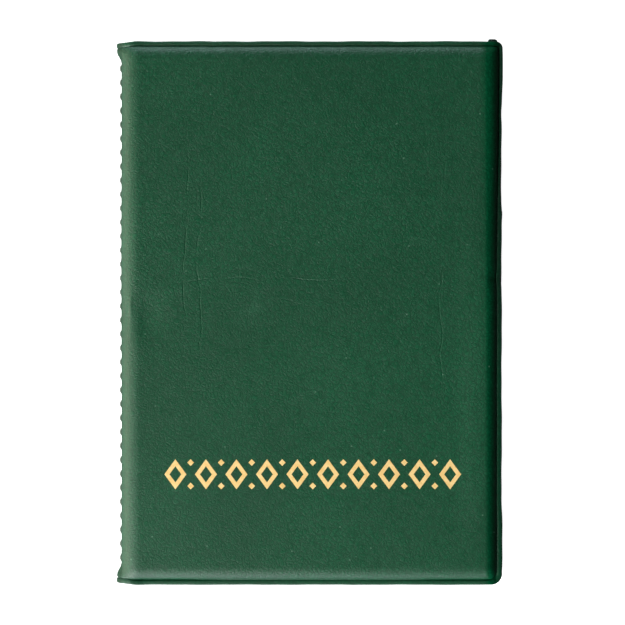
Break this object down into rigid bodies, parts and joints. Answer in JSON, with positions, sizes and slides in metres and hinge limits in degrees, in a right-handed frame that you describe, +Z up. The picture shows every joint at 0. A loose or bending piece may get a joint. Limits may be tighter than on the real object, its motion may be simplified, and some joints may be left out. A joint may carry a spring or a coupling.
{
  "type": "pocket document notebook",
  "caption": "Passport-size padded vinyl book cover with sewn spine, clear inside pockets and fanning clear sleeve leaves, each holding a loose ruled sheet.",
  "frame": {"origin": "centre of the bounding box's base: the notebook lies closed on its back cover", "axes": "+X from the spine to the fore-edge, +Y from tail to head, +Z up through the front cover"},
  "size_m": [0.0954, 0.135, 0.0072],
  "materials": {
    "cover_vinyl": "grained satin vinyl",
    "lining_vinyl": "smooth satin vinyl",
    "foam": "open-cell foam",
    "greyboard": "matt grey board",
    "clear_film": "clear glossy film",
    "ruled_paper": "uncoated ruled paper",
    "thread": "twisted polyester thread",
    "gold_foil": "hot-stamped metallic foil"
  },
  "bodies": {
    "back_cover": {"back_skin": "cover_vinyl", "back_pad": "foam", "back_board": "greyboard", "back_lining": "lining_vinyl", "back_pocket": "clear_film"},
    "spine": {"spine_skin": "cover_vinyl", "spine_lining": "lining_vinyl", "spine_stitching": "thread", "outer_fold": "clear_film", "middle_fold": "clear_film", "inner_fold": "clear_film"},
    "front_cover": {"front_skin": "cover_vinyl", "front_pad": "foam", "front_board": "greyboard", "front_lining": "lining_vinyl", "front_pocket": "clear_film", "foil_ornament": "gold_foil"},
    "leaf_1": {"leaf_1_front_film": "clear_film", "leaf_1_back_film": "clear_film"},
    "leaf_2": {"leaf_2_front_film": "clear_film", "leaf_2_back_film": "clear_film"},
    "leaf_3": {"leaf_3_front_film": "clear_film", "leaf_3_back_film": "clear_film"},
    "leaf_4": {"leaf_4_front_film": "clear_film", "leaf_4_back_film": "clear_film"},
    "leaf_5": {"leaf_5_front_film": "clear_film", "leaf_5_back_film": "clear_film"},
    "leaf_6": {"leaf_6_front_film": "clear_film", "leaf_6_back_film": "clear_film"},
    "insert_1": {"leaf_1_insert": "ruled_paper"},
    "insert_2": {"leaf_2_insert": "ruled_paper"},
    "insert_3": {"leaf_3_insert": "ruled_paper"},
    "insert_4": {"leaf_4_insert": "ruled_paper"},
    "insert_5": {"leaf_5_insert": "ruled_paper"},
    "insert_6": {"leaf_6_insert": "ruled_paper"}
  },
  "joints": [
    {"name": "spine_hinge", "type": "hinge", "parent": "back_cover", "child": "spine", "pos_m": [-0.04618, 0, 0.00077], "axis": [0, -1, 0], "range_deg": [0, 90]},
    {"name": "front_hinge", "type": "hinge", "parent": "spine", "child": "front_cover", "pos_m": [-0.04618, 0, 0.00643], "axis": [0, -1, 0], "range_deg": [0, 90]},
    {"name": "leaf_1_turn", "type": "hinge", "parent": "spine", "child": "leaf_1", "pos_m": [-0.04463, 0, 0.00487], "axis": [0, -1, 0], "range_deg": [0, 72]},
    {"name": "leaf_2_turn", "type": "hinge", "parent": "spine", "child": "leaf_2", "pos_m": [-0.04463, 0, 0.00441], "axis": [0, -1, 0], "range_deg": [0, 54]},
    {"name": "leaf_3_turn", "type": "hinge", "parent": "spine", "child": "leaf_3", "pos_m": [-0.04463, 0, 0.00395], "axis": [0, -1, 0], "range_deg": [0, 36]},
    {"name": "leaf_4_turn", "type": "hinge", "parent": "spine", "child": "leaf_4", "pos_m": [-0.04463, 0, 0.00325], "axis": [0, -1, 0], "range_deg": [-36, 0]},
    {"name": "leaf_5_turn", "type": "hinge", "parent": "spine", "child": "leaf_5", "pos_m": [-0.04463, 0, 0.00279], "axis": [0, -1, 0], "range_deg": [-54, 0]},
    {"name": "leaf_6_turn", "type": "hinge", "parent": "spine", "child": "leaf_6", "pos_m": [-0.04463, 0, 0.00233], "axis": [0, -1, 0], "range_deg": [-72, 0]},
    {"name": "insert_1_slide", "type": "slide", "parent": "leaf_1", "child": "insert_1", "axis": [0, 1, 0], "range_m": [0, 0.12]},
    {"name": "insert_2_slide", "type": "slide", "parent": "leaf_2", "child": "insert_2", "axis": [0, 1, 0], "range_m": [0, 0.12]},
    {"name": "insert_3_slide", "type": "slide", "parent": "leaf_3", "child": "insert_3", "axis": [0, 1, 0], "range_m": [0, 0.12]},
    {"name": "insert_4_slide", "type": "slide", "parent": "leaf_4", "child": "insert_4", "axis": [0, 1, 0], "range_m": [0, 0.12]},
    {"name": "insert_5_slide", "type": "slide", "parent": "leaf_5", "child": "insert_5", "axis": [0, 1, 0], "range_m": [0, 0.12]},
    {"name": "insert_6_slide", "type": "slide", "parent": "leaf_6", "child": "insert_6", "axis": [0, 1, 0], "range_m": [0, 0.12]}
  ],
  "couplings": [
    {"joint": "front_hinge", "follows": "spine_hinge", "ratio": 1},
    {"joint": "leaf_1_turn", "follows": "spine_hinge", "ratio": 0.8},
    {"joint": "leaf_2_turn", "follows": "spine_hinge", "ratio": 0.6},
    {"joint": "leaf_3_turn", "follows": "spine_hinge", "ratio": 0.4},
    {"joint": "leaf_4_turn", "follows": "spine_hinge", "ratio": -0.4},
    {"joint": "leaf_5_turn", "follows": "spine_hinge", "ratio": -0.6},
    {"joint": "leaf_6_turn", "follows": "spine_hinge", "ratio": -0.8}
  ]
}
